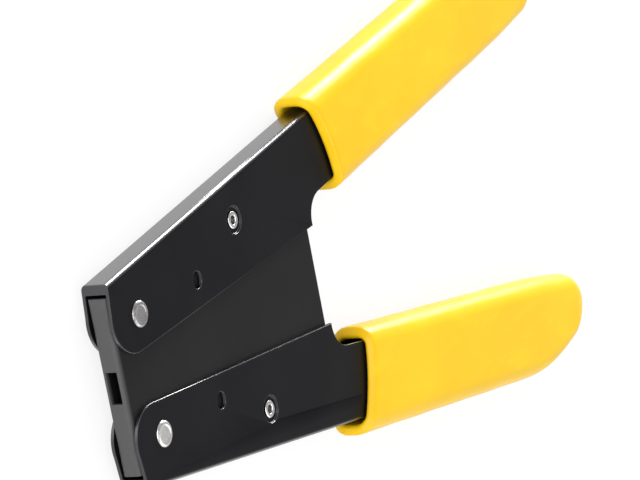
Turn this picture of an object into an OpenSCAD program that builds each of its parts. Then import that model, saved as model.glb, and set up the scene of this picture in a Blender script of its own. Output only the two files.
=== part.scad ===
// Flat drop-cable stripper: two sprung hand levers on a folded frame, each closing a blade on the cable.
// X runs from the nose to the handles, Y across them, Z through the thickness.
// The origin is the middle of the cable window, on the front face of the nose.

/* [View] */
// Sub-part to draw, or all of them

/* [Frame] */
// Length from the nose face to the open rear edge
frame_length = 67.2; // [66:0.1:69]
// Height of the nose face
nose_height = 30.8; // [30:0.1:31.4]
// Sheet of the folded frame
frame_sheet = 0.8; // [0.7:0.05:0.85]
// Clear width between the two side plates
channel_width = 2.3; // [2.25:0.05:2.4]
// Outside radius of the folds beside the nose face
fold_radius = 1.0; // [0.9:0.05:1.2]
// Cable window, across the plates
window_width = 2.2; // [2:0.05:2.25]
// Cable window, along the nose
window_height = 5.5; // [5.2:0.1:5.8]

/* [Levers] */
// Distance of the pivot line behind the nose face
pivot_x = 7.8; // [7.5:0.1:8.2]
// Distance of each pivot from the middle line
pivot_y = 10.5; // [10.3:0.1:10.8]
// Angle of each lever away from closed
open_angle = 9.25; // [9:0.05:9.5]
// Sheet of the levers
lever_sheet = 0.65; // [0.6:0.05:0.7]
// Height of the web above the pivot
web_height = 8.4; // [8.2:0.1:8.6]
// Depth of the lip turned down at the front of the web
lip_depth = 1.75; // [1.5:0.05:1.8]
// Outside radius of the bends beside the web
bend_radius = 0.9; // [0.8:0.05:1]

/* [Grips] */
// Thickness of a grip
grip_thickness = 9.2; // [8.8:0.1:10]
// Thickness of the sleeve wall over the web
grip_wall = 3.1; // [2.8:0.1:3.3]
// Rounding of the grip's long edges
grip_edge = 3.4; // [3:0.1:3.6]
// How far the arched mouth stands off the web
mouth_gap = 1; // [0.6:0.1:1.3]

/* [Rivets and blades] */
// Diameter of a pivot rivet's head
rivet_head = 4.7; // [4.5:0.1:5]
// Height of a pivot rivet's head
rivet_height = 0.55; // [0.45:0.05:0.7]
// Diameter of a pivot rivet's shank
rivet_shank = 3.4; // [3.3:0.05:3.5]
// Diameter of a tubular tie rivet's flange
tie_flange = 3.15; // [3:0.05:3.3]
// Diameter of the dimple around a tie rivet
dimple = 4.9; // [4.8:0.05:5.1]
// Diameter of the tooling hole in each lever
tooling_hole = 3; // [2.8:0.1:3.2]
// Thickness of a blade
blade_thickness = 1.2; // [1:0.05:1.3]

/* [Hidden] */
$fn = 64;
steel_black = [0.09, 0.09, 0.1];
plate_black = [0.13, 0.13, 0.135];
yellow = [0.96, 0.8, 0.13];
bright_steel = [0.78, 0.78, 0.79];
blade_steel = [0.62, 0.64, 0.66];
brass = [0.72, 0.58, 0.3];
spring_steel = [0.5, 0.5, 0.53];

skin = 0.01;
running_fit = 0.04;
side_fit = 0.1;
frame_half = channel_width / 2 + frame_sheet;
cheek_in = frame_half + side_fit;
lever_half = cheek_in + lever_sheet;

// Lever outline, seen from the pivot with the web parallel to X.
web_front = -6.15;
nose_arc = [-1.95, 0.5];
nose_arc_r = 6.2;
tip = [59.4, -10.85];
notch = [64.5, -11.2];
notch_r = 5.1;
channel_edge = notch[1] + notch_r;
tail_start = 138;
tail_end = 157;
tail_arc_r = 46.9;
tail_arc_y = web_height - tail_arc_r;
tie = [35, 1.35];
tooling = [18.9, -2.7];
dimple_depth = 0.5;
dimple_floor = lever_half - dimple_depth;
tie_shank = 2.4;
tie_bush_r = 2.1;

// Grip outline.
grip_half = grip_thickness / 2;
grip_top = web_height + grip_wall;
grip_bottom = channel_edge - 2.7;
grip_corner = 5;
grip_end = 166.5;
mouth_arc = [35.4, -5];
mouth_arc_r = 35;

// Jaw arm and blade.
jaw_half = channel_width / 2 - 0.15;
jaw_boss_r = 4.1;
jaw_edge = -8.3;
blade_x = 14.6;
blade_tip = -10.05;
blade_root = -3.8;
blade_bevel = 1.3;
screw_r = 0.6;
screw_end = 20.6;
spring_seat = [29, -2.9];
bush_r = 2.6;

module placed(side) {
    mirror([0, side < 0 ? 1 : 0, 0])
        translate([pivot_x, pivot_y, 0])
            rotate([0, 0, open_angle])
                children();
}

// A shape run along X, drawn with its Y to the right and its Z up.
module run_along_x(from, to) {
    translate([from, 0, 0])
        rotate([90, 0, 90])
            linear_extrude(height = to - from)
                children();
}

module disc(r, z_from, z_to) {
    translate([0, 0, z_from])
        cylinder(r = r, h = z_to - z_from);
}

// A strip from y_low up to y_top whose two upper corners are rounded.
module bent_section(half, y_low, y_top, r) {
    translate([y_low, -half])
        square([y_top - y_low - r, 2 * half]);
    translate([y_low, -half + r])
        square([y_top - y_low, 2 * (half - r)]);
    for (s = [-1, 1])
        translate([y_top - r, s * (half - r)])
            circle(r = r);
}

// ---- Frame: nose web and two side plates folded from one sheet ----

module frame_section(half, r) {
    translate([r, -half])
        square([frame_length - r, 2 * half]);
    translate([0, -half + r])
        square([r + skin, 2 * (half - r)]);
    for (s = [-1, 1])
        translate([r, s * (half - r)])
            circle(r = r);
}

module folded_sheet() {
    rotate([90, 0, 0])
        linear_extrude(height = nose_height, center = true)
            difference() {
                frame_section(frame_half, fold_radius);
                translate([frame_sheet, 0])
                    frame_section(frame_half - frame_sheet, fold_radius - frame_sheet);
            }
}

// Open notch in a plate's edge that lets a tie bush swing in as the lever closes.
module tie_notch() {
    room = dimple / 2 + 0.85;
    for (m = [0, 1])
        mirror([0, m, 0])
            translate([pivot_x, pivot_y, 0])
                rotate([0, 0, 0.65])
                    translate([tie[0], tie[1], 0]) {
                        disc(room, -frame_half - 1, frame_half + 1);
                        translate([-room, 0, -frame_half - 1])
                            cube([2 * room, nose_height, 2 * frame_half + 2]);
                    }
}

module frame_shell() {
    color(plate_black)
        difference() {
            folded_sheet();
            tie_notch();
            translate([-1, -window_height / 2, -window_width / 2])
                cube([frame_sheet + 2, window_height, window_width]);
            for (s = [-1, 1])
                translate([pivot_x, s * pivot_y, 0])
                    disc(rivet_shank / 2, -frame_half - 1, frame_half + 1);
        }
}

// ---- Levers: sheet channels whose cheeks lie outside the frame ----

module cheek_outline() {
    difference() {
        union() {
            translate(nose_arc)
                circle(r = nose_arc_r);
            polygon([
                [web_front, web_height],
                [nose_arc[0] - nose_arc_r + 0.04, nose_arc[1] + 0.7],
                [nose_arc[0] - nose_arc_r, nose_arc[1]],
                nose_arc,
                [nose_arc[0] - 0.52, nose_arc[1] - nose_arc_r + 0.02],
                tip,
                [notch[0], tip[1]],
                [notch[0], channel_edge],
                [tail_start, channel_edge],
                [tail_start, web_height],
            ]);
            intersection() {
                translate([tail_start, tail_arc_y])
                    circle(r = tail_arc_r);
                translate([tail_start - skin, channel_edge])
                    square([tail_end - tail_start, web_height - channel_edge + 1]);
            }
        }
        translate(notch)
            circle(r = notch_r);
    }
}

module lever_cavity() {
    lip_slant = 1.95 / 7.2;
    lip_low = web_height - lip_depth;
    lip_back = web_front + lever_sheet;
    intersection() {
        linear_extrude(height = 2 * cheek_in, center = true)
            polygon([
                [lip_back, web_height],
                [lip_back - lip_slant * lip_depth, lip_low],
                [-12, lip_low],
                [-12, -20],
                [tail_end + 5, -20],
                [tail_end + 5, web_height],
            ]);
        run_along_x(-12, tail_end + 5)
            bent_section(cheek_in, -20, web_height - lever_sheet, bend_radius - lever_sheet);
    }
}

module lever() {
    difference() {
        intersection() {
            linear_extrude(height = 2 * lever_half, center = true)
                cheek_outline();
            run_along_x(-12, tail_end + 5)
                bent_section(lever_half, -20, web_height, bend_radius);
        }
        difference() {
            lever_cavity();
            for (s = [-1, 1])
                translate([tie[0], tie[1], 0])
                    disc(dimple / 2 + 0.45, s > 0 ? dimple_floor - lever_sheet : -cheek_in - skin,
                        s > 0 ? cheek_in + skin : lever_sheet - dimple_floor);
        }
        translate([tail_start, -20, -cheek_in])
            cube([tail_end, 40, 2 * cheek_in]);
        disc(rivet_shank / 2 + running_fit, -lever_half - 1, lever_half + 1);
        translate([tooling[0], tooling[1], 0])
            disc(tooling_hole / 2, -lever_half - 1, lever_half + 1);
        translate([tie[0], tie[1], 0]) {
            disc(tie_shank / 2, -lever_half - 1, lever_half + 1);
            disc(dimple / 2, dimple_floor, lever_half + 1);
            disc(dimple / 2, -lever_half - 1, -dimple_floor);
        }
    }
}

module upper_lever() {
    color(steel_black)
        placed(1)
            lever();
}

module lower_lever() {
    color(steel_black)
        placed(-1)
            lever();
}

// ---- Grips: soft sleeves with a rounded edge and an arched mouth ----

// A disc with its rim rounded over the whole grip thickness.
module soft_disc(x, y) {
    translate([x, y, 0])
        rotate_extrude($fn = 40)
            intersection() {
                union() {
                    square([grip_corner - grip_edge, grip_thickness], center = false);
                    translate([grip_corner - grip_edge, grip_half + (grip_half - grip_edge)])
                        circle(r = grip_edge, $fn = 40);
                    translate([grip_corner - grip_edge, grip_edge])
                        circle(r = grip_edge, $fn = 40);
                    translate([0, grip_edge])
                        square([grip_corner, grip_thickness - 2 * grip_edge]);
                }
                square([grip_corner, grip_thickness]);
            }
}

module grip_blank() {
    outer_r = tail_arc_r + grip_wall - grip_corner;
    translate([0, 0, -grip_half])
        hull() {
            for (y = [grip_bottom + grip_corner, grip_top - grip_corner])
                soft_disc(64, y);
            for (a = [0 : 6.5 : 26])
                soft_disc(tail_start + outer_r * sin(a), tail_arc_y + outer_r * cos(a));
            soft_disc(tail_start, grip_bottom + grip_corner);
            soft_disc(grip_end - 2 * grip_corner, grip_bottom + grip_corner + 0.3);
            soft_disc(grip_end - grip_corner, grip_bottom + grip_corner + 1.2);
        }
}

module grip_cavity() {
    intersection() {
        linear_extrude(height = 2 * lever_half, center = true)
            cheek_outline();
        run_along_x(-12, tail_end + 5)
            bent_section(lever_half, -20, web_height, bend_radius);
    }
    // The mouth arches clear of the web and runs down to it inside.
    linear_extrude(height = 2 * lever_half, center = true)
        polygon([
            [62, web_height - 1],
            [62, web_height + mouth_gap],
            [70, web_height + mouth_gap],
            [84, web_height - 1],
        ]);
}

module grip() {
    difference() {
        grip_blank();
        grip_cavity();
        translate([mouth_arc[0], mouth_arc[1], 0])
            disc(mouth_arc_r, -grip_half - 1, grip_half + 1);
    }
}

module upper_grip() {
    color(yellow)
        placed(1)
            grip();
}

module lower_grip() {
    color(yellow)
        placed(-1)
            grip();
}

// ---- Jaw arms: flat arms inside the frame, carrying the blades ----

module jaw_outline() {
    difference() {
        union() {
            circle(r = jaw_boss_r);
            translate(tie)
                circle(r = 3.4);
            polygon([
                [0, jaw_boss_r],
                [-1.5, -3.8],
                [10, jaw_edge + 2],
                [12, jaw_edge],
                [18.6, jaw_edge],
                [18.6, jaw_edge + 2.4],
                [21.4, jaw_edge + 4],
                [32, -2],
                tie,
                [34.6, tie[1] + 3.38],
            ]);
        }
        // Seat for the return spring's hooked end.
        translate(spring_seat)
            circle(r = 1);
        translate([blade_x - blade_thickness / 2, jaw_edge - 1])
            square([blade_thickness, blade_root - jaw_edge + 1]);
    }
}

module jaw() {
    difference() {
        linear_extrude(height = 2 * jaw_half, center = true)
            jaw_outline();
        disc(bush_r + running_fit, -5, 5);
        translate([tie[0], tie[1], 0])
            disc(tie_bush_r, -5, 5);
        translate([blade_x, blade_root - 1.4, 0])
            rotate([0, 90, 0])
                disc(screw_r, 0, 12);
    }
}

module upper_jaw() {
    color(spring_steel)
        placed(1)
            jaw();
}

module lower_jaw() {
    color(spring_steel)
        placed(-1)
            jaw();
}

module blade() {
    half = blade_thickness / 2;
    translate([blade_x, 0, 0])
        linear_extrude(height = 2 * jaw_half, center = true)
            polygon([
                [-half, blade_root],
                [-half, blade_tip + blade_bevel],
                [half - 0.1, blade_tip],
                [half, blade_tip + 0.1],
                [half, blade_root],
            ]);
}

module upper_blade() {
    color(blade_steel)
        placed(1)
            blade();
}

module lower_blade() {
    color(blade_steel)
        placed(-1)
            blade();
}

// Set screw that presses the blade against the front of its slot.
module blade_screw() {
    translate([blade_x + blade_thickness / 2, blade_root - 1.4, 0])
        rotate([0, 90, 0])
            difference() {
                cylinder(r = screw_r, h = screw_end - blade_x - blade_thickness / 2);
                translate([0, 0, screw_end - blade_x - blade_thickness / 2 - 0.8])
                    cylinder(r = 0.32, h = 1, $fn = 6);
            }
}

module upper_blade_screw() {
    color(blade_steel)
        placed(1)
            blade_screw();
}

module lower_blade_screw() {
    color(blade_steel)
        placed(-1)
            blade_screw();
}

// ---- Rivets and bushes ----

module rivet_head_shape() {
    rotate_extrude()
        polygon([
            [0, 0],
            [rivet_head / 2, 0],
            [rivet_head / 2, rivet_height * 0.45],
            [rivet_head / 2 - 0.5, rivet_height],
            [rivet_head / 2 - 0.8, rivet_height * 0.85],
            [0, rivet_height * 0.85],
        ]);
}

module pivot_rivet(side) {
    seat = lever_half + 0.03;
    translate([pivot_x, side * pivot_y, 0]) {
        disc(rivet_shank / 2, -seat - skin, seat + skin);
        for (m = [0, 1])
            mirror([0, 0, m])
                translate([0, 0, seat])
                    rivet_head_shape();
    }
}

module upper_pivot_rivet() {
    color(bright_steel)
        pivot_rivet(1);
}

module lower_pivot_rivet() {
    color(bright_steel)
        pivot_rivet(-1);
}

module pivot_bush(side) {
    translate([pivot_x, side * pivot_y, 0])
        difference() {
            disc(bush_r, -channel_width / 2, channel_width / 2);
            disc(rivet_shank / 2, -5, 5);
        }
}

module upper_pivot_bush() {
    color(brass)
        pivot_bush(1);
}

module lower_pivot_bush() {
    color(brass)
        pivot_bush(-1);
}

module tie_rivet() {
    flange = 0.35;
    top = dimple_floor + flange;
    translate([tie[0], tie[1], 0])
        difference() {
            union() {
                disc(tie_shank / 2, -top, top);
                disc(tie_flange / 2, dimple_floor, top);
                disc(tie_flange / 2, -top, -dimple_floor);
            }
            disc(tie_shank / 2 - 0.4, -5, 5);
        }
}

module upper_tie_rivet() {
    color(bright_steel)
        placed(1)
            tie_rivet();
}

module lower_tie_rivet() {
    color(bright_steel)
        placed(-1)
            tie_rivet();
}

// Spacer that keeps the dimpled cheeks apart and carries the jaw arm.
module tie_bush() {
    reach = dimple_floor - lever_sheet;
    translate([tie[0], tie[1], 0])
        difference() {
            disc(tie_bush_r, -reach, reach);
            disc(tie_shank / 2, -5, 5);
        }
}

module upper_tie_bush() {
    color(brass)
        placed(1)
            tie_bush();
}

module lower_tie_bush() {
    color(brass)
        placed(-1)
            tie_bush();
}

// ---- Return spring: a flat hairpin whose ends push the two arms apart ----

module return_spring() {
    strip = 0.5;
    bend = [62, 0];
    bend_r = 2.75;
    foot = [36.9, 11.95];
    foot_r = 0.55;
    reach = norm(bend - foot);
    lean = atan2(foot[1], bend[0] - foot[0]) - asin(bend_r / reach);
    leg = sqrt(reach * reach - bend_r * bend_r);
    color(spring_steel)
        linear_extrude(height = channel_width - 0.5, center = true) {
            difference() {
                translate(bend)
                    circle(r = bend_r + strip / 2);
                translate(bend)
                    circle(r = bend_r - strip / 2);
                translate([bend[0] - 2 * bend_r, -2 * bend_r])
                    square([2 * bend_r + bend_r * sin(lean), 4 * bend_r]);
            }
            for (m = [0, 1])
                mirror([0, m])
                    translate(foot) {
                        circle(r = foot_r);
                        rotate(-lean)
                            translate([0, -strip / 2])
                                square([leg + 0.1, strip]);
                    }
        }
}

frame_shell();
upper_lever();
lower_lever();
upper_grip();
lower_grip();
upper_jaw();
lower_jaw();
upper_blade();
lower_blade();
upper_blade_screw();
lower_blade_screw();
upper_pivot_rivet();
lower_pivot_rivet();
upper_pivot_bush();
lower_pivot_bush();
upper_tie_rivet();
lower_tie_rivet();
upper_tie_bush();
lower_tie_bush();
return_spring();
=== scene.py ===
import math

import bmesh
import bpy
import numpy as np
from mathutils import Matrix, Vector


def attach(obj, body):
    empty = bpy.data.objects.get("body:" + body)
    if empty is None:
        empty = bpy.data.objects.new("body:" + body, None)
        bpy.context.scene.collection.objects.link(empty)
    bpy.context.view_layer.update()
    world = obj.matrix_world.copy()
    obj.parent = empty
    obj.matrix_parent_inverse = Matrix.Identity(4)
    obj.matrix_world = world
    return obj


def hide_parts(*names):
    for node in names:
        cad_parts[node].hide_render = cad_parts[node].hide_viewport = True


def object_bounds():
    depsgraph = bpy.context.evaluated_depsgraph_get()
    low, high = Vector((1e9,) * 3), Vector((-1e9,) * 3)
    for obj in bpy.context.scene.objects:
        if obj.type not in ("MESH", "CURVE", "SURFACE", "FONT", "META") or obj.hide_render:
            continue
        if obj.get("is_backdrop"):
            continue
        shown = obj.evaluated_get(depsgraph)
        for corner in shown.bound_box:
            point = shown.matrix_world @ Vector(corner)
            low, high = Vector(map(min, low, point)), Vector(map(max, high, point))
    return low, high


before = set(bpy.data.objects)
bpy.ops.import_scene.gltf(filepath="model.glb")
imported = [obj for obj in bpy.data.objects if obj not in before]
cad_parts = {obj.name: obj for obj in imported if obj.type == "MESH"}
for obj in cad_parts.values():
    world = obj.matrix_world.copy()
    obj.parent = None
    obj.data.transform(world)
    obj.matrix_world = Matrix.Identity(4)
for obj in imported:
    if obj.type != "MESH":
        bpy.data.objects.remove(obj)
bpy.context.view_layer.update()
scene = bpy.context.scene
scene.view_settings.view_transform = "Standard"
mm = 0.001
print("frame loaded:", len(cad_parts), "nodes")


# A lever's own axes start at its pivot, with the web along X, in millimetres.
leverPlace = {"pivotX": 7.8, "pivotY": 10.5, "openAngle": 9.25}
sides = {"upper": 1, "lower": -1}


# Turns points by the opening angle, shifts them to the pivot, and mirrors them in Y for the lower
# lever; millimetres in, metres out.
def placeOnLever(points, side):
    turn = math.radians(leverPlace["openAngle"])
    x, y, z = points[..., 0], points[..., 1], points[..., 2]
    placedX = leverPlace["pivotX"] + x * math.cos(turn) - y * math.sin(turn)
    placedY = leverPlace["pivotY"] + x * math.sin(turn) + y * math.cos(turn)
    return np.stack([placedX, side * placedY, z], axis=-1) * mm


# A sheet of quads over a grid of points: rows run along the piece, columns go round it and always
# close. A pole takes the whole first or last row to one point, closed by a fan.
def gridSurface(name, points, wrapRows=False, startPole=False, endPole=False, attribute=None):
    rows, columns = points.shape[:2]
    index = np.arange(rows * columns).reshape(rows, columns)
    lower = index if wrapRows else index[:-1]
    upper = np.roll(index, -1, axis=0) if wrapRows else index[1:]
    quads = np.stack([lower, np.roll(lower, -1, axis=1), np.roll(upper, -1, axis=1), upper],
                     axis=-1).reshape(-1, 4)
    mesh = bpy.data.meshes.new(name)
    mesh.from_pydata(points.reshape(-1, 3).tolist(), [], quads.tolist())
    if attribute is not None:
        layer = mesh.attributes.new(attribute[0], "FLOAT", "POINT")
        layer.data.foreach_set("value", attribute[1].reshape(-1).astype(np.float32))
    work = bmesh.new()
    work.from_mesh(mesh)
    if startPole or endPole:
        bmesh.ops.remove_doubles(work, verts=work.verts, dist=1e-8)
    bmesh.ops.recalc_face_normals(work, faces=work.faces)
    work.to_mesh(mesh)
    work.free()
    mesh.shade_smooth()
    piece = bpy.data.objects.new(name, mesh)
    scene.collection.objects.link(piece)
    return piece


# A line through the corners, with each corner cut by a curve from one radius before it to one after it.
def roundedProfile(corners, radii, steps=5):
    corners = np.array(corners, float)
    pieces = [corners[:1]]
    for before, corner, after, radius in zip(corners[:-2], corners[1:-1], corners[2:], radii):
        inward, outward = before - corner, after - corner
        reach = min(radius, np.linalg.norm(inward) * 0.49, np.linalg.norm(outward) * 0.49)
        start = corner + inward / np.linalg.norm(inward) * reach
        end = corner + outward / np.linalg.norm(outward) * reach
        t = np.linspace(0, 1, steps)[:, None]
        pieces.append((1 - t) ** 2 * start + 2 * t * (1 - t) * corner + t ** 2 * end)
    pieces.append(corners[-1:])
    return np.concatenate(pieces)


# Turns a line of (radius, height) points round the Z axis.
def revolved(profile, columns):
    angle = np.linspace(0, 2 * np.pi, columns, endpoint=False)
    radius, height = profile[:, 0][:, None], profile[:, 1][:, None]
    return np.stack([radius * np.cos(angle), radius * np.sin(angle), height + 0 * angle], axis=-1)


# One closed section, in (y, z): a rectangle from bottom to top and half a thickness each way, whose
# corners are arcs. Every argument may be an array, one value for each row of the piece.
def roundedRing(top, bottom, half, cornerTop, cornerBottom, arcSteps=9, sideSteps=9):
    top, bottom, half, cornerTop, cornerBottom = np.broadcast_arrays(top, bottom, half, cornerTop,
                                                                     cornerBottom)
    quarter = np.linspace(0, np.pi / 2, arcSteps)
    y, z = [], []
    for number in range(4):
        ySign = 1 if number in (0, 3) else -1
        zSign = 1 if number in (0, 1) else -1
        corner = cornerTop if ySign > 0 else cornerBottom
        edge = top if ySign > 0 else bottom
        sweep = quarter if number in (0, 2) else quarter[::-1]
        arcY = (edge - ySign * corner)[..., None] + ySign * corner[..., None] * np.cos(sweep)
        arcZ = zSign * (half - corner)[..., None] + zSign * corner[..., None] * np.sin(sweep)
        y.append(arcY)
        z.append(arcZ)
    fillY, fillZ = [], []
    blend = np.linspace(0, 1, sideSteps + 2)[1:-1]
    for here in range(4):
        there = (here + 1) % 4
        fillY += [y[here], y[here][..., -1:] * (1 - blend) + y[there][..., :1] * blend]
        fillZ += [z[here], z[here][..., -1:] * (1 - blend) + z[there][..., :1] * blend]
    return np.concatenate(fillY, axis=-1), np.concatenate(fillZ, axis=-1)


# A merged copy of a CAD node whose hard edges get a small round, as paint or a press leaves them.
def softenedCopy(node, name, width, segments, angle=28):
    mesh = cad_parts[node].data.copy()
    mesh.name = name
    work = bmesh.new()
    work.from_mesh(mesh)
    bmesh.ops.remove_doubles(work, verts=work.verts, dist=2e-6)
    bmesh.ops.dissolve_limit(work, angle_limit=math.radians(0.5), verts=work.verts, edges=work.edges)
    work.to_mesh(mesh)
    work.free()
    mesh.shade_smooth()
    mesh.set_sharp_from_angle(angle=math.radians(angle))
    piece = bpy.data.objects.new(name, mesh)
    scene.collection.objects.link(piece)
    bevel = piece.modifiers.new("edgeRound", "BEVEL")
    bevel.width = width * mm
    bevel.segments = segments
    bevel.limit_method = "ANGLE"
    bevel.angle_limit = math.radians(angle)
    bevel.use_clamp_overlap = False
    bevel.harden_normals = True
    bevel.miter_outer = "MITER_ARC"
    return piece


def finishPiece(piece, material, body, slot, *nodes):
    piece.data.materials.clear()
    piece.data.materials.append(material)
    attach(piece, body)
    if nodes:
        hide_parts(*nodes)


def newGroup(name, inputs, outputs):
    group = bpy.data.node_groups.new(name, "ShaderNodeTree")
    for label, kind, value in inputs:
        socket = group.interface.new_socket(name=label, in_out="INPUT", socket_type=kind)
        socket.default_value = value
    for label, kind in outputs:
        group.interface.new_socket(name=label, in_out="OUTPUT", socket_type=kind)
    enter = group.nodes.new("NodeGroupInput")
    leave = group.nodes.new("NodeGroupOutput")
    return group, enter, leave


def addNode(tree, kind, values=None, **settings):
    node = tree.nodes.new(kind)
    for key, value in settings.items():
        setattr(node, key, value)
    for key, value in (values or {}).items():
        node.inputs[key].default_value = value
    return node


def mathOf(tree, operation, a, b=None, clamp=False):
    node = addNode(tree, "ShaderNodeMath", operation=operation, use_clamp=clamp)
    for place, value in enumerate((a, b)):
        if value is None:
            continue
        if isinstance(value, (int, float)):
            node.inputs[place].default_value = value
        else:
            tree.links.new(value, node.inputs[place])
    return node.outputs[0]


def mapRange(tree, value, low, high, toLow=0.0, toHigh=1.0):
    node = addNode(tree, "ShaderNodeMapRange",
                   {"From Min": low, "From Max": high, "To Min": toLow, "To Max": toHigh})
    node.clamp = True
    tree.links.new(value, node.inputs["Value"])
    return node.outputs["Result"]


def noiseOf(tree, vector, scale, detail=3.0, roughness=0.5):
    node = addNode(tree, "ShaderNodeTexNoise", {"Scale": scale, "Detail": detail, "Roughness": roughness})
    tree.links.new(vector, node.inputs["Vector"])
    return node.outputs["Fac"]


def scaledVector(tree, vector, scale):
    node = addNode(tree, "ShaderNodeMapping", {"Scale": scale})
    tree.links.new(vector, node.inputs["Vector"])
    return node.outputs["Vector"]


edgeRubShape = {"radius": 0.00028, "flat": 0.99, "sharp": 0.86, "patches": 420.0}


# Where a rounded normal leans away from the true one there is an edge; noise breaks the band up.
def edgeRubGroup():
    group, enter, leave = newGroup("edgeRub", [("Breakup", "NodeSocketFloat", 0.5)],
                                   [("Mask", "NodeSocketFloat")])
    rounded = addNode(group, "ShaderNodeBevel", {"Radius": edgeRubShape["radius"]}, samples=4)
    surface = addNode(group, "ShaderNodeNewGeometry")
    dot = addNode(group, "ShaderNodeVectorMath", operation="DOT_PRODUCT")
    group.links.new(rounded.outputs["Normal"], dot.inputs[0])
    group.links.new(surface.outputs["Normal"], dot.inputs[1])
    lean = mapRange(group, dot.outputs["Value"], edgeRubShape["flat"], edgeRubShape["sharp"])
    where = addNode(group, "ShaderNodeTexCoord")
    patches = noiseOf(group, where.outputs["Object"], edgeRubShape["patches"], 4.0, 0.62)
    kept = mapRange(group, patches, 0.42, 0.6)
    full = mathOf(group, "SUBTRACT", 1.0, enter.outputs["Breakup"])
    broken = mathOf(group, "ADD", full, mathOf(group, "MULTIPLY", kept, enter.outputs["Breakup"]),
                    clamp=True)
    group.links.new(mathOf(group, "MULTIPLY", lean, broken, clamp=True), leave.inputs["Mask"])
    return group


paintSkinShape = {"rolling": 160.0, "peel": 1500.0, "grain": 5200.0, "tone": 60.0}


# Baked enamel: a slow rolling height with a fine orange peel on it, and a slow drift of tone.
def paintSkinGroup():
    group, enter, leave = newGroup("paintSkin", [("Peel", "NodeSocketFloat", 1.0)],
                                   [("Height", "NodeSocketFloat"), ("Tone", "NodeSocketFloat"),
                                    ("Fine", "NodeSocketFloat")])
    where = addNode(group, "ShaderNodeTexCoord").outputs["Object"]
    rolling = noiseOf(group, where, paintSkinShape["rolling"], 2.0, 0.5)
    peel = noiseOf(group, where, paintSkinShape["peel"], 2.0, 0.5)
    grain = noiseOf(group, where, paintSkinShape["grain"], 1.0, 0.5)
    small = mathOf(group, "ADD", mathOf(group, "MULTIPLY", peel, 0.3),
                   mathOf(group, "MULTIPLY", grain, 0.1))
    rough = mathOf(group, "MULTIPLY", small, enter.outputs["Peel"])
    height = mathOf(group, "ADD", mathOf(group, "MULTIPLY", rolling, 0.25), rough)
    group.links.new(height, leave.inputs["Height"])
    group.links.new(noiseOf(group, where, paintSkinShape["tone"], 3.0, 0.55), leave.inputs["Tone"])
    group.links.new(grain, leave.inputs["Fine"])
    return group


dustShape = {"specks": 2600.0, "drift": 95.0}


# Sparse pale specks: a fine noise cut off near its top, thinned by a slow one.
def dustGroup():
    group, enter, leave = newGroup("dust", [("Amount", "NodeSocketFloat", 0.5)],
                                   [("Mask", "NodeSocketFloat")])
    where = addNode(group, "ShaderNodeTexCoord").outputs["Object"]
    specks = mapRange(group, noiseOf(group, where, dustShape["specks"], 2.0, 0.6), 0.70, 0.78)
    drift = mapRange(group, noiseOf(group, where, dustShape["drift"], 2.0, 0.5), 0.4, 0.7)
    mask = mathOf(group, "MULTIPLY", mathOf(group, "MULTIPLY", specks, drift), enter.outputs["Amount"],
                  clamp=True)
    group.links.new(mask, leave.inputs["Mask"])
    return group


# Long fine marks along the direction of the smallest stretch, as rolling or grinding leaves them.
def drawnMarksGroup():
    group, enter, leave = newGroup("drawnMarks", [("Stretch", "NodeSocketVector", (60.0, 2500.0, 2500.0))],
                                   [("Height", "NodeSocketFloat"), ("Tone", "NodeSocketFloat")])
    where = addNode(group, "ShaderNodeTexCoord").outputs["Object"]
    mapping = addNode(group, "ShaderNodeVectorMath", operation="MULTIPLY")
    group.links.new(where, mapping.inputs[0])
    group.links.new(enter.outputs["Stretch"], mapping.inputs[1])
    lines = noiseOf(group, mapping.outputs["Vector"], 1.0, 3.0, 0.6)
    cloud = noiseOf(group, where, 700.0, 3.0, 0.6)
    group.links.new(lines, leave.inputs["Height"])
    group.links.new(mathOf(group, "ADD", mathOf(group, "MULTIPLY", lines, 0.65),
                           mathOf(group, "MULTIPLY", cloud, 0.35)), leave.inputs["Tone"])
    return group


turnedMarksShape = {"rings": 9000.0, "nicks": 1900.0}


# Rings round the axis: noise read along the radius only, from the piece's own radius attribute.
def turnedMarksGroup():
    group, enter, leave = newGroup("turnedMarks", [],
                                   [("Height", "NodeSocketFloat"), ("Tone", "NodeSocketFloat")])
    radius = addNode(group, "ShaderNodeAttribute", attribute_name="turnRadius").outputs["Fac"]
    joined = addNode(group, "ShaderNodeCombineXYZ")
    group.links.new(mathOf(group, "MULTIPLY", radius, turnedMarksShape["rings"]), joined.inputs["X"])
    rings = noiseOf(group, joined.outputs["Vector"], 1.0, 2.0, 0.6)
    where = addNode(group, "ShaderNodeTexCoord").outputs["Object"]
    flattened = scaledVector(group, where, (1.0, 2.6, 1.0))
    nicks = noiseOf(group, flattened, turnedMarksShape["nicks"], 4.0, 0.65)
    group.links.new(rings, leave.inputs["Height"])
    group.links.new(mathOf(group, "ADD", mathOf(group, "MULTIPLY", rings, 0.45),
                           mathOf(group, "MULTIPLY", nicks, 0.55)), leave.inputs["Tone"])
    return group


edgeRub = edgeRubGroup()
paintSkin = paintSkinGroup()
dust = dustGroup()
drawnMarks = drawnMarksGroup()
turnedMarks = turnedMarksGroup()
print("node groups made")


def newMaterial(name, values):
    material = bpy.data.materials.new(name)
    material.use_nodes = True
    tree = material.node_tree
    shader = tree.nodes["Principled BSDF"]
    for key, value in values.items():
        shader.inputs[key].default_value = value
    return material, tree, shader


def useGroup(tree, group, values=None):
    node = addNode(tree, "ShaderNodeGroup")
    node.node_tree = group
    for key, value in (values or {}).items():
        node.inputs[key].default_value = value
    return node.outputs


def mixColours(tree, factor, first, second):
    node = addNode(tree, "ShaderNodeMix", data_type="RGBA")
    for place, value in ((6, first), (7, second)):
        if isinstance(value, tuple):
            node.inputs[place].default_value = (*value, 1.0)
        else:
            tree.links.new(value, node.inputs[place])
    tree.links.new(factor, node.inputs[0])
    return node.outputs[2]


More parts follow.
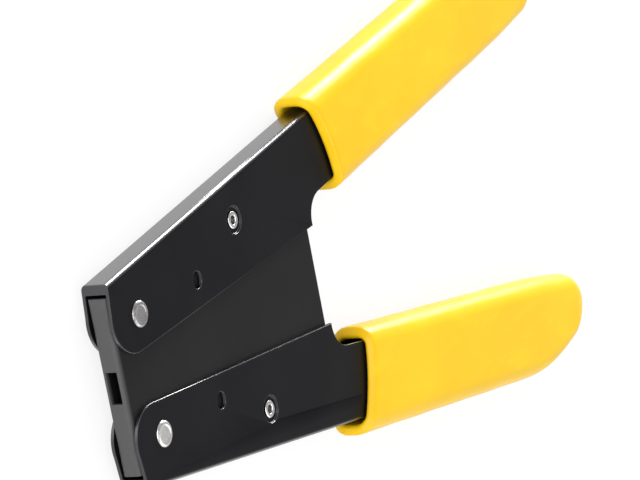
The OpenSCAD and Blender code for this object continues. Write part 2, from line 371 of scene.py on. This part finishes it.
def bumpInto(tree, shader, height, distance):
    bump = addNode(tree, "ShaderNodeBump", {"Distance": distance, "Strength": 1.0})
    tree.links.new(height, bump.inputs["Height"])
    tree.links.new(bump.outputs["Normal"], shader.inputs["Normal"])


# The front colour is a painted highlight on the lever faces turned to the front.
leverFinish = {"colour": (0.0035, 0.0037, 0.0045), "drift": (0.0055, 0.0056, 0.0062),
               "edge": (0.05, 0.05, 0.06), "front": (0.055, 0.055, 0.057),
               "dustColour": (0.04, 0.04, 0.04), "roughLow": 0.29, "roughHigh": 0.34, "specular": 0.1,
               "tint": (0.86, 0.86, 1.0), "coatIor": 2.0, "coatRough": 0.2, "peel": 0.000008}


def leverEnamel():
    material, tree, shader = newMaterial("leverEnamel", {
        "Specular IOR Level": leverFinish["specular"], "Specular Tint": (*leverFinish["tint"], 1.0),
        "Coat IOR": leverFinish["coatIor"], "Coat Roughness": leverFinish["coatRough"]})
    skin = useGroup(tree, paintSkin, {"Peel": 1.0})
    rub = useGroup(tree, edgeRub, {"Breakup": 0.35})["Mask"]
    specks = useGroup(tree, dust, {"Amount": 0.35})["Mask"]
    base = mixColours(tree, mapRange(tree, skin["Tone"], 0.35, 0.7), leverFinish["colour"],
                      leverFinish["drift"])
    # The faces turned to the front are painted paler, a painted highlight, as the nose plate is.
    facing = addNode(tree, "ShaderNodeSeparateXYZ")
    tree.links.new(addNode(tree, "ShaderNodeNewGeometry").outputs["Normal"], facing.inputs[0])
    frontHighlightMask = mapRange(tree, facing.outputs["X"], -0.55, -0.85)
    # The enamel pools glossier over the web and its bends than on the cheeks.
    tree.links.new(mapRange(tree, mathOf(tree, "ABSOLUTE", facing.outputs["Y"]), 0.2, 0.6),
                   shader.inputs["Coat Weight"])
    base = mixColours(tree, frontHighlightMask, base, leverFinish["front"])
    edged = mixColours(tree, rub, base, leverFinish["edge"])
    tree.links.new(mixColours(tree, specks, edged, leverFinish["dustColour"]), shader.inputs["Base Color"])
    tree.links.new(mapRange(tree, skin["Tone"], 0.3, 0.7, leverFinish["roughLow"],
                            leverFinish["roughHigh"]), shader.inputs["Roughness"])
    bumpInto(tree, shader, skin["Height"], leverFinish["peel"])
    return material


# The nose colour is a painted highlight on the front of the folded shell.
frameFinish = {"colour": (0.006, 0.006, 0.0064), "drift": (0.009, 0.009, 0.0095),
               "edge": (0.08, 0.08, 0.085), "nose": (0.078, 0.076, 0.077),
               "dustColour": (0.09, 0.09, 0.09), "roughLow": 0.42, "roughHigh": 0.52, "specular": 0.12,
               "peel": 0.000012, "noseStart": 0.0011, "noseFull": 0.0002}


def frameEnamel():
    material, tree, shader = newMaterial("frameEnamel", {"Specular IOR Level": frameFinish["specular"]})
    skin = useGroup(tree, paintSkin, {"Peel": 1.6})
    rub = useGroup(tree, edgeRub, {"Breakup": 0.5})["Mask"]
    specks = useGroup(tree, dust, {"Amount": 0.5})["Mask"]
    base = mixColours(tree, mapRange(tree, skin["Tone"], 0.35, 0.7), frameFinish["colour"],
                      frameFinish["drift"])
    # The nose is painted paler over its first millimetre, a painted highlight.
    split = addNode(tree, "ShaderNodeSeparateXYZ")
    tree.links.new(addNode(tree, "ShaderNodeTexCoord").outputs["Object"], split.inputs[0])
    noseHighlightMask = mapRange(tree, split.outputs["X"], frameFinish["noseStart"], frameFinish["noseFull"])
    noseHighlighted = mixColours(tree, noseHighlightMask, base, frameFinish["nose"])
    edged = mixColours(tree, mathOf(tree, "MULTIPLY", rub, 0.7), noseHighlighted, frameFinish["edge"])
    tree.links.new(mixColours(tree, specks, edged, frameFinish["dustColour"]), shader.inputs["Base Color"])
    tree.links.new(mapRange(tree, skin["Tone"], 0.3, 0.7, frameFinish["roughLow"],
                            frameFinish["roughHigh"]), shader.inputs["Roughness"])
    bumpInto(tree, shader, skin["Height"], frameFinish["peel"])
    return material


gripFinish = {"colour": (0.80, 0.50, 0.006), "deep": (0.76, 0.455, 0.004), "pale": (0.84, 0.57, 0.012),
              "rough": 0.3, "roughHigh": 0.4, "specular": 0.2, "ripple": 0.00002,
              "coat": 0.06, "coatRough": 0.12, "dustColour": (0.5, 0.4, 0.15)}


def gripVinyl():
    material, tree, shader = newMaterial("gripVinyl", {
        "Specular IOR Level": gripFinish["specular"], "Coat Weight": gripFinish["coat"],
        "Coat Roughness": gripFinish["coatRough"]})
    where = addNode(tree, "ShaderNodeTexCoord").outputs["Object"]
    slow = noiseOf(tree, where, 38.0, 3.0, 0.5)
    flow = noiseOf(tree, scaledVector(tree, where, (0.35, 1.0, 1.0)), 260.0, 3.0, 0.55)
    pits = noiseOf(tree, where, 2400.0, 2.0, 0.5)
    specks = useGroup(tree, dust, {"Amount": 0.3})["Mask"]
    tone = mixColours(tree, mapRange(tree, slow, 0.35, 0.68), gripFinish["colour"], gripFinish["deep"])
    lit = mixColours(tree, mapRange(tree, flow, 0.5, 0.75, 0.0, 0.5), tone, gripFinish["pale"])
    tree.links.new(mixColours(tree, specks, lit, gripFinish["dustColour"]), shader.inputs["Base Color"])
    tree.links.new(mapRange(tree, flow, 0.3, 0.7, gripFinish["rough"], gripFinish["roughHigh"]),
                   shader.inputs["Roughness"])
    height = mathOf(tree, "ADD", mathOf(tree, "MULTIPLY", flow, 0.8), mathOf(tree, "MULTIPLY", pits, 0.12))
    bumpInto(tree, shader, height, gripFinish["ripple"])
    return material


def bareSteel(name, colour, dark, rough, stretch, marks=0.000004):
    material, tree, shader = newMaterial(name, {"Metallic": 1.0})
    drawn = useGroup(tree, drawnMarks, {"Stretch": stretch})
    rub = useGroup(tree, edgeRub, {"Breakup": 0.3})["Mask"]
    toned = mixColours(tree, mapRange(tree, drawn["Tone"], 0.35, 0.65), dark, colour)
    bright = tuple(min(1.0, c * 1.2) for c in colour)
    tree.links.new(mixColours(tree, rub, toned, bright), shader.inputs["Base Color"])
    tree.links.new(mapRange(tree, drawn["Tone"], 0.3, 0.7, rough * 0.85, rough * 1.2),
                   shader.inputs["Roughness"])
    bumpInto(tree, shader, drawn["Height"], marks)
    return material


def rivetMetal(name, colour, dark, rough):
    material, tree, shader = newMaterial(name, {"Metallic": 1.0})
    turned = useGroup(tree, turnedMarks)
    toned = mixColours(tree, mapRange(tree, turned["Tone"], 0.36, 0.62), dark, colour)
    specks = useGroup(tree, dust, {"Amount": 0.4})["Mask"]
    tree.links.new(mixColours(tree, specks, toned, (0.2, 0.19, 0.18)), shader.inputs["Base Color"])
    tree.links.new(mapRange(tree, turned["Tone"], 0.3, 0.7, rough * 0.8, rough * 1.25),
                   shader.inputs["Roughness"])
    bumpInto(tree, shader, turned["Height"], 0.000005)
    return material


leverPaint = leverEnamel()
framePaint = frameEnamel()
vinyl = gripVinyl()
# The two pivot rivets are lit and shaded copies of one steel: the upper heads are painted darker, a painted
# shade, and the lower heads paler, painted light.
upperRivetShadedMetal = rivetMetal("upperRivetShadedMetal", (0.52, 0.50, 0.50), (0.27, 0.255, 0.26), 0.3)
lowerRivetLitMetal = rivetMetal("lowerRivetLitMetal", (0.82, 0.81, 0.79), (0.62, 0.61, 0.59), 0.3)
tieMetal = rivetMetal("tieMetal", (0.80, 0.79, 0.78), (0.62, 0.61, 0.60), 0.24)
armSteel = bareSteel("armSteel", (0.42, 0.42, 0.43), (0.30, 0.30, 0.31), 0.42, (90.0, 900.0, 900.0))
bladeSteel = bareSteel("bladeSteel", (0.60, 0.61, 0.62), (0.46, 0.47, 0.48), 0.22, (3000.0, 150.0, 3000.0))
springSteel = bareSteel("springSteel", (0.34, 0.35, 0.38), (0.24, 0.25, 0.27), 0.33, (120.0, 1800.0, 300.0))
bushBrass = bareSteel("bushBrass", (0.66, 0.47, 0.20), (0.50, 0.34, 0.13), 0.34, (1500.0, 1500.0, 120.0))
print("materials made")


# Dip-moulded sleeve, in millimetres along the lever's own axes.
gripShape = {
    "half": 4.45, "crown": 0.15, "top": 11.5, "bottom": -8.8, "edgeTop": 3.5, "edgeBottom": 3.5,
    "arcStart": 138.0, "arcRadius": 50.0, "arcCentreY": -38.5, "riseStart": 140.0, "rise": 0.0016,
    "roundStart": 160.0, "end": 166.5, "endThinning": 0.45, "straightStart": 96.0,
    "mouthX": 35.4, "mouthY": -5.0, "mouthRadius": 35.0, "lip": 0.8, "lipLean": 0.45,
    "mouthGap": 1.0, "mouthGapSide": 0.12, "mouthGapBottom": 0.25, "mouthEdgeTop": 1.9,
             "mouthEdgeBottom": 1.2,
    "insideTop": 8.45, "insideBottom": -6.14, "insideHalf": 2.74, "insideStart": 86.0, "insideEnd": 157.1,
    "insideEdgeTop": 0.92, "insideEdgeBottom": 0.35,
    "wave": 0.06, "waveStart": 68.0, "waveRise": 12.0, "waveEnd": 166.0, "waveFall": 8.0,
}


# An edge that runs straight up to arcStart and then follows a circle round the arc's centre.
def edgeOverArc(x, straight, radius):
    s = gripShape
    along = np.maximum(x - s["arcStart"], 0)
    bent = s["arcCentreY"] + np.sqrt(np.maximum(radius ** 2 - along ** 2, 0))
    return np.where(x < s["arcStart"], straight, bent)


# The mouth is an arc seen from the side: its x at each height y.
def mouthAt(y):
    s = gripShape
    drop = np.minimum(y - s["mouthY"], s["mouthRadius"] - 1)
    return s["mouthX"] + np.sqrt(s["mouthRadius"] ** 2 - drop ** 2)


# Top, bottom and half thickness at each x; past roundStart they shrink as a circle's edge does.
def gripOutside(x):
    s = gripShape
    top = edgeOverArc(x, s["top"], s["arcRadius"])
    bottom = s["bottom"] + s["rise"] * np.maximum(x - s["riseStart"], 0) ** 2
    middle = (top + bottom) / 2
    past = (x - s["roundStart"]) / (s["end"] - s["roundStart"])
    shrink = np.where(x < s["roundStart"], 1.0, np.sqrt(np.clip(1 - past ** 2, 0, 1)))
    top = middle + (top - middle) * shrink
    bottom = middle + (bottom - middle) * shrink
    return top, bottom, s["half"] * shrink ** s["endThinning"]


def insideRing(top):
    s = gripShape
    return roundedRing(top, s["insideBottom"], s["insideHalf"], s["insideEdgeTop"], s["insideEdgeBottom"])


# Outside rings from the closed end to the mouth. Ahead of straightStart each line runs straight to its
# own place on the mouth's arc.
def sleeveOutside():
    s = gripShape
    swing = np.linspace(np.pi / 2, 0, 16)
    endX = s["roundStart"] + (s["end"] - s["roundStart"]) * np.sin(swing)
    x = np.concatenate([endX, np.linspace(s["roundStart"], s["straightStart"], 26)[1:]])
    top, bottom, half = gripOutside(x)
    size = np.minimum((top - bottom) / 2, half)
    y, z = roundedRing(top, bottom, half, np.minimum(s["edgeTop"], size), np.minimum(s["edgeBottom"], size))
    behind = np.stack([np.broadcast_to(x[:, None], y.shape), y, z], axis=-1)
    y, z = roundedRing(s["top"], s["bottom"], s["half"], s["edgeTop"], s["edgeBottom"])
    reach = mouthAt(y) + s["lip"] - s["straightStart"]
    slide = np.linspace(0, 1, 15)[1:, None]
    ahead = np.stack([s["straightStart"] + reach * slide, y + 0 * slide, z + 0 * slide], axis=-1)
    return np.concatenate([behind, ahead])


# Three sines make slow waves, which fade out at the mouth and the end, over a slight crown.
def wavy(outside):
    s = gripShape
    x, y, z = outside[..., 0], outside[..., 1], outside[..., 2]
    rising = np.clip((x - s["waveStart"]) / s["waveRise"], 0, 1)
    falling = np.clip((s["waveEnd"] - x) / s["waveFall"], 0, 1)
    wave = (np.sin(x * 0.43 + 0.8) + 0.6 * np.sin(x * 0.97 + y * 0.3) + 0.5 * np.sin(x * 0.21 + z)) / 2.1
    depth = s["wave"] * (wave - 1) * rising * falling
    crown = s["crown"] * np.clip(1 - (y / 10.5) ** 2, 0, 1)
    bulge = np.sign(z) * np.minimum(np.abs(z), 1) * (crown + 0.3 * depth)
    sway = np.sign(y) * depth * np.clip(np.abs(y) / 6, 0, 1)
    return np.stack([x, y + sway, z + bulge], axis=-1)


# The lip rolls over in half a turn from the outside to the mouth's inner edge.
def sleeveLip(edge, inner):
    s = gripShape
    roll = np.linspace(0, np.pi, 13)[1:, None, None]
    share = ((1 - np.cos(roll)) / 2) ** s["lipLean"]
    lip = edge * (1 - share) + inner * share
    lip[..., 0] -= s["lip"] * np.sin(roll[..., 0])
    return lip


# The inside narrows from the mouth onto the channel that holds the lever.
def sleeveThroat(inner):
    deep = np.linspace(0, 1, 9)[1:, None]
    ease = deep * deep * (3 - 2 * deep)
    seatY, seatZ = insideRing(gripShape["insideTop"])
    x = inner[:, 0] * (1 - deep) + gripShape["insideStart"] * deep
    return np.stack([x, inner[:, 1] * (1 - ease) + seatY * ease, inner[:, 2] * (1 - ease) + seatZ * ease],
                    axis=-1)


# The channel follows the lever to its end and closes on a point.
def sleeveChannel():
    s = gripShape
    x = np.concatenate([np.linspace(s["insideStart"], s["arcStart"], 8)[1:],
                        np.linspace(s["arcStart"], s["insideEnd"], 10)[1:]])
    top = edgeOverArc(x, s["insideTop"], s["arcRadius"] - (s["top"] - s["insideTop"]))
    y, z = insideRing(top)
    channel = np.stack([np.broadcast_to(x[:, None], y.shape), y, z], axis=-1)
    centre = np.array([s["insideEnd"], (top[-1] + s["insideBottom"]) / 2, 0.0])
    closing = centre + (channel[-1] - centre) * np.array([0.6, 0.25, 0.0])[:, None, None]
    return np.concatenate([channel, closing])


def gripMesh(name, side):
    s = gripShape
    outside = wavy(sleeveOutside())
    y, z = roundedRing(s["insideTop"] + s["mouthGap"], s["insideBottom"] - s["mouthGapBottom"],
                       s["insideHalf"] + s["mouthGapSide"], s["mouthEdgeTop"], s["mouthEdgeBottom"])
    inner = np.stack([mouthAt(y) + s["lip"], y, z], axis=-1)
    rings = [outside, sleeveLip(outside[-1], inner), sleeveThroat(inner), sleeveChannel()]
    return gridSurface(name, placeOnLever(np.concatenate(rings), side), startPole=True, endPole=True)


for label, side in sides.items():
    sleeve = gripMesh(label + "Sleeve", side)
    smooth = sleeve.modifiers.new("smoothing", "SUBSURF")
    smooth.levels = smooth.render_levels = 1
    finishPiece(sleeve, vinyl, label + "_arm", "yellow_pvc", label + "_grip")
print("grips made")


# Widths of the round edges of the pressed sheets, in millimetres.
sheetEdges = {"leverWidth": 0.14, "frameWidth": 0.13, "segments": 2}

for label in sides:
    lever = softenedCopy(label + "_lever", label + "PressedLever", sheetEdges["leverWidth"],
                         sheetEdges["segments"])
    finishPiece(lever, leverPaint, label + "_arm", "black_enamel", label + "_lever")
shell = softenedCopy("frame_shell", "foldedShell", sheetEdges["frameWidth"], sheetEdges["segments"])
finishPiece(shell, framePaint, "frame", "plate_enamel", "frame_shell")
print("levers and frame made")


# The rivets are turned from their profiles, in millimetres.
pivotRivet = {"headRadius": 2.3, "shank": 1.7, "seat": 2.73, "height": 0.38, "rim": 0.36, "land": 1.5,
              "dish": 0.09}


# Both heads and the shank in one profile, from the middle of the front face to the middle of the back.
def pivotRivetMesh(name, side):
    r = pivotRivet
    seat, top = r["seat"], r["seat"] + r["height"]
    front = roundedProfile([(0.0, top - r["dish"]), (r["land"] - 0.12, top - r["dish"]),
                            (r["land"] + 0.1, top - 0.01), (r["headRadius"] - r["rim"], top),
                            (r["headRadius"] - 0.02, top - 0.24), (r["headRadius"], seat),
                            (r["shank"], seat), (r["shank"], 0.0)],
                           [0.1, 0.1, 0.14, 0.14, 0.03, 0.03], 5)
    profile = np.concatenate([front, front[::-1][1:] * np.array([1, -1])])
    points = revolved(profile, 96)
    spread = np.broadcast_to(profile[:, 0][:, None], points.shape[:2]) * mm
    points = points + np.array([leverPlace["pivotX"], side * leverPlace["pivotY"], 0.0])
    return gridSurface(name, points * mm, startPole=True, endPole=True, attribute=("turnRadius", spread))


tieRivet = {"x": 35.0, "y": 1.35, "flangeRadius": 1.575, "shank": 1.2, "bore": 0.8, "floor": 2.2,
            "flange": 0.35, "lead": 0.2, "leadDrop": 0.02}


# A tube whose ends are rolled outwards into round rings; the profile closes on itself.
def tieRivetMesh(name, side):
    r = tieRivet
    top = r["floor"] + r["flange"]
    thick = r["flange"] / 2
    roll = np.linspace(-0.5 * np.pi, 0.25 * np.pi, 8)
    flange = np.stack([r["flangeRadius"] - thick + thick * np.cos(roll),
                       r["floor"] + thick + thick * np.sin(roll)], axis=-1)
    crown = np.array([(1.3, top), (1.08, top - 0.01)])
    turn = np.linspace(0, np.pi / 2, 6)
    lead = np.stack([r["bore"] + r["lead"] * (1 - np.sin(turn)),
                     top - r["leadDrop"] - r["lead"] * (1 - np.cos(turn))], axis=-1)
    shank = np.array([(r["shank"], 0.0), (r["shank"], r["floor"])])
    bore = np.array([(r["bore"], 1.0), (r["bore"], 0.0)])
    half = np.concatenate([shank, flange, crown, lead, bore])
    profile = np.concatenate([half, (half[::-1] * np.array([1, -1]))[1:-1]])
    points = revolved(profile, 64)
    spread = np.broadcast_to(profile[:, 0][:, None], points.shape[:2]) * mm
    points = points + np.array([r["x"], r["y"], 0.0])
    return gridSurface(name, placeOnLever(points, side), wrapRows=True, attribute=("turnRadius", spread))


for label, side in sides.items():
    headMetal = upperRivetShadedMetal if side > 0 else lowerRivetLitMetal
    finishPiece(pivotRivetMesh(label + "PivotHeads", side), headMetal, "frame", "rivet_steel",
                label + "_pivot_rivet")
    finishPiece(tieRivetMesh(label + "TieTube", side), tieMetal, label + "_arm", "rivet_steel",
                label + "_tie_rivet")
print("rivets made")


# The inner pieces keep their CAD meshes and only get a finish.
innerFinish = {"jaw": armSteel, "blade": bladeSteel, "blade_screw": bladeSteel, "pivot_bush": bushBrass,
               "tie_bush": bushBrass}


def paintNode(node, material):
    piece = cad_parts[node]
    piece.material_slots[0].link = "OBJECT"
    piece.material_slots[0].material = material


for label in sides:
    for part, material in innerFinish.items():
        paintNode(label + "_" + part, material)
paintNode("return_spring", springSteel)
print("inner pieces finished")


cameraPlace = {"location": (-0.3940, 0.1177, 0.2804), "right": (0.47242, -0.18290, 0.86219),
               "up": (0.26630, 0.96213, 0.05818), "lens": 168.75}
right = Vector(cameraPlace["right"]).normalized()
up = Vector(cameraPlace["up"])
up = (up - right * up.dot(right)).normalized()
back = right.cross(up)
cameraData = bpy.data.cameras.new("camera")
cameraData.lens = cameraPlace["lens"]
cameraData.sensor_width = 36.0
cameraData.sensor_fit = "HORIZONTAL"
cameraData.clip_start = 0.01
camera = bpy.data.objects.new("camera", cameraData)
scene.collection.objects.link(camera)
camera.matrix_world = Matrix.Translation(cameraPlace["location"]) @ Matrix((right, up,
                                                                            back)).transposed().to_4x4()
scene.camera = camera
print("camera placed")


# White world, pale floor and three soft lamps, in metres and watts.
studio = {"ambient": 0.46, "ceiling": 0.42, "floorGlow": 0.85, "floorSize": 1.6, "floorDrop": 0.00002,
          "floorShift": 0.08, "aim": (0.06, 0.0, 0.0)}
lamps = {
    "backLamp": {"towards": (0.76, 0.62, 0.13), "distance": 0.9, "size": (0.6, 0.3), "power": 14.0},
    "noseLamp": {"towards": (-0.82, 0.10, 0.56), "distance": 0.85, "size": (0.9, 0.9), "power": 8.0},
    "fillLamp": {"towards": (0.25, -0.62, 0.75), "distance": 0.7, "size": (0.6, 0.6), "power": 2.2},
}


def whiteWorld():
    world = bpy.data.worlds.new("studioWorld")
    world.use_nodes = True
    tree = world.node_tree
    tree.nodes.clear()
    path = addNode(tree, "ShaderNodeLightPath")
    seen = mathOf(tree, "MAXIMUM", path.outputs["Is Camera Ray"], path.outputs["Is Transmission Ray"])
    where = addNode(tree, "ShaderNodeTexCoord").outputs["Generated"]
    split = addNode(tree, "ShaderNodeSeparateXYZ")
    tree.links.new(where, split.inputs[0])
    # Glossy rays see a room that is white at the horizon and dimmer overhead.
    overhead = mapRange(tree, split.outputs["Z"], 0.05, 0.6, 1.0, studio["ceiling"])
    plain = addNode(tree, "ShaderNodeBackground",
                    {"Color": (1.0, 1.0, 1.0, 1.0), "Strength": studio["ambient"]})
    white = addNode(tree, "ShaderNodeBackground", {"Color": (1.0, 1.0, 1.0, 1.0), "Strength": 1.0})
    mirrored = addNode(tree, "ShaderNodeBackground", {"Color": (1.0, 1.0, 1.0, 1.0)})
    tree.links.new(overhead, mirrored.inputs["Strength"])
    first = addNode(tree, "ShaderNodeMixShader")
    tree.links.new(path.outputs["Is Glossy Ray"], first.inputs[0])
    tree.links.new(plain.outputs[0], first.inputs[1])
    tree.links.new(mirrored.outputs[0], first.inputs[2])
    second = addNode(tree, "ShaderNodeMixShader")
    tree.links.new(seen, second.inputs[0])
    tree.links.new(first.outputs[0], second.inputs[1])
    tree.links.new(white.outputs[0], second.inputs[2])
    leave = addNode(tree, "ShaderNodeOutputWorld")
    tree.links.new(second.outputs[0], leave.inputs["Surface"])
    scene.world = world


def paleFloor():
    size = studio["floorSize"]
    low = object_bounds()[0]
    level = low[2] - studio["floorDrop"]
    count = 9
    steps = np.linspace(-size / 2, size / 2, count)
    across, along = np.meshgrid(steps, steps, indexing="ij")
    points = np.stack([across + studio["floorShift"], along, np.full_like(across, level)], axis=-1)
    index = np.arange(count * count).reshape(count, count)
    quads = np.stack([index[:-1, :-1], index[1:, :-1], index[1:, 1:], index[:-1, 1:]], axis=-1).reshape(-1,
                                                                                                        4)
    mesh = bpy.data.meshes.new("floor")
    mesh.from_pydata(points.reshape(-1, 3).tolist(), [], quads.tolist())
    floor = bpy.data.objects.new("floor", mesh)
    scene.collection.objects.link(floor)
    material = bpy.data.materials.new("paleFloor")
    material.use_nodes = True
    tree = material.node_tree
    tree.nodes.clear()
    path = addNode(tree, "ShaderNodeLightPath")
    mirrored = mathOf(tree, "MAXIMUM", path.outputs["Is Glossy Ray"], path.outputs["Is Transmission Ray"])
    seen = mathOf(tree, "MAXIMUM", path.outputs["Is Camera Ray"], mirrored)
    glow = addNode(tree, "ShaderNodeEmission", {"Color": (1.0, 1.0, 1.0, 1.0), "Strength": 1.0})
    matt = addNode(tree, "ShaderNodeBsdfDiffuse", {"Color": (0.93, 0.93, 0.93, 1.0)})
    mix = addNode(tree, "ShaderNodeMixShader")
    tree.links.new(mathOf(tree, "MULTIPLY", seen, studio["floorGlow"]), mix.inputs[0])
    tree.links.new(matt.outputs[0], mix.inputs[1])
    tree.links.new(glow.outputs[0], mix.inputs[2])
    leave = addNode(tree, "ShaderNodeOutputMaterial")
    tree.links.new(mix.outputs[0], leave.inputs["Surface"])
    mesh.materials.append(material)
    floor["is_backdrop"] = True


def addLamp(name, values):
    data = bpy.data.lights.new(name, "AREA")
    data.shape = "RECTANGLE"
    data.size, data.size_y = values["size"]
    data.energy = values["power"]
    lamp = bpy.data.objects.new(name, data)
    scene.collection.objects.link(lamp)
    towards = Vector(values["towards"]).normalized()
    lamp.location = Vector(studio["aim"]) + towards * values["distance"]
    lamp.rotation_euler = towards.to_track_quat("Z", "Y").to_euler()


whiteWorld()
paleFloor()
for lampName, lampValues in lamps.items():
    addLamp(lampName, lampValues)
print("studio made")
